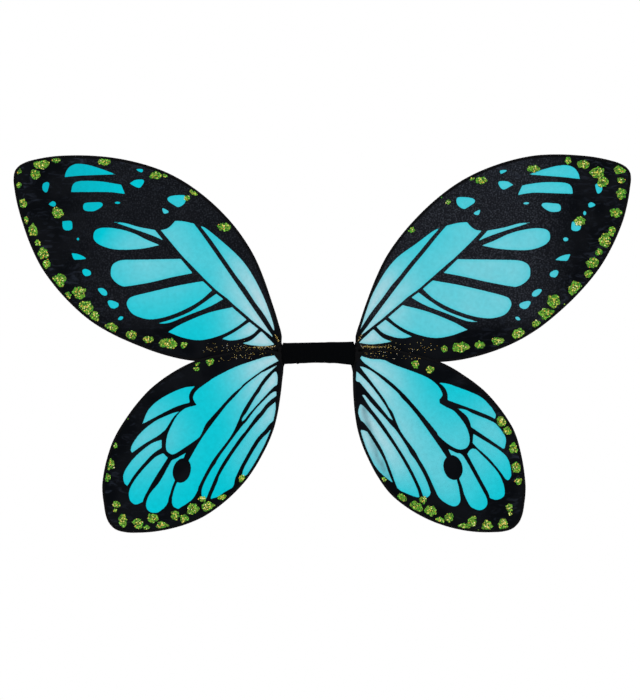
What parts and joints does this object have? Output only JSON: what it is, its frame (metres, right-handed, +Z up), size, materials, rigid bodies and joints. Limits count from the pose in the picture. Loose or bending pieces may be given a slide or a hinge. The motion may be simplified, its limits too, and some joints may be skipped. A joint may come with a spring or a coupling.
{
  "type": "fairy wings",
  "caption": "Costume butterfly wings: printed mesh on bent wire frames, joined by a padded fabric band with elastic arm loops; the wings fold and sweep.",
  "frame": {"origin": "centre of the flat back face of the centre band, the face that rests between the wearer's shoulder blades", "axes": "+Z up as worn; +Y towards the wearer's back, along the outward normal of the back face; +X to the right of someone looking at the decorated faces, which look along -Y"},
  "size_m": [0.803, 0.0233, 0.4918],
  "materials": {
    "black_knit": "matte",
    "foam": "matte",
    "core_plastic": "satin",
    "tape": "satin",
    "wire": "satin",
    "hem": "matte",
    "printed_mesh": "satin",
    "elastic": "matte",
    "glitter": "gloss"
  },
  "bodies": {
    "centre_band": {"centre_sleeve": "black_knit", "back_padding": "foam", "core_strip": "core_plastic", "upper_left_neck": "wire", "lower_left_neck": "wire", "upper_right_neck": "wire", "lower_right_neck": "wire", "left_neck_tape": "tape", "right_neck_tape": "tape", "left_strap_end": "elastic", "right_strap_end": "elastic"},
    "left_collar": {"left_collar": "tape"},
    "right_collar": {"right_collar": "tape"},
    "upper_left_wing": {"upper_left_frame": "wire", "upper_left_hem": "hem", "upper_left_mesh": "printed_mesh"},
    "upper_right_wing": {"upper_right_frame": "wire", "upper_right_hem": "hem", "upper_right_mesh": "printed_mesh"},
    "lower_left_wing": {"lower_left_frame": "wire", "lower_left_hem": "hem", "lower_left_mesh": "printed_mesh"},
    "lower_right_wing": {"lower_right_frame": "wire", "lower_right_hem": "hem", "lower_right_mesh": "printed_mesh"},
    "left_loop": {"left_arm_loop": "elastic"},
    "right_loop": {"right_arm_loop": "elastic"}
  },
  "joints": [
    {"name": "left_fold", "type": "hinge", "parent": "centre_band", "child": "left_collar", "pos_m": [-0.0474, -0.0126, 0], "axis": [0, 0, 1], "range_deg": [0, 85]},
    {"name": "right_fold", "type": "hinge", "parent": "centre_band", "child": "right_collar", "pos_m": [0.0474, -0.0126, 0], "axis": [0, 0, -1], "range_deg": [0, 85]},
    {"name": "upper_left_sweep", "type": "hinge", "parent": "left_collar", "child": "upper_left_wing", "pos_m": [-0.0496, -0.006, 0.006], "axis": [0, 1, 0], "range_deg": [-25, 12]},
    {"name": "upper_right_sweep", "type": "hinge", "parent": "right_collar", "child": "upper_right_wing", "pos_m": [0.0496, -0.006, 0.006], "axis": [0, -1, 0], "range_deg": [-25, 12]},
    {"name": "lower_left_sweep", "type": "hinge", "parent": "left_collar", "child": "lower_left_wing", "pos_m": [-0.0496, -0.0106, -0.001], "axis": [0, 1, 0], "range_deg": [0, 25]},
    {"name": "lower_right_sweep", "type": "hinge", "parent": "right_collar", "child": "lower_right_wing", "pos_m": [0.0496, -0.0106, -0.001], "axis": [0, -1, 0], "range_deg": [0, 25]},
    {"name": "left_loop_swing", "type": "hinge", "parent": "centre_band", "child": "left_loop", "pos_m": [-0.04475, -0.0005, -0.00672], "axis": [0.9397, 0, -0.342], "range_deg": [0, 90]},
    {"name": "right_loop_swing", "type": "hinge", "parent": "centre_band", "child": "right_loop", "pos_m": [0.04403, -0.0005, -0.00694], "axis": [0.9703, 0, 0.2419], "range_deg": [0, 90]}
  ]
}
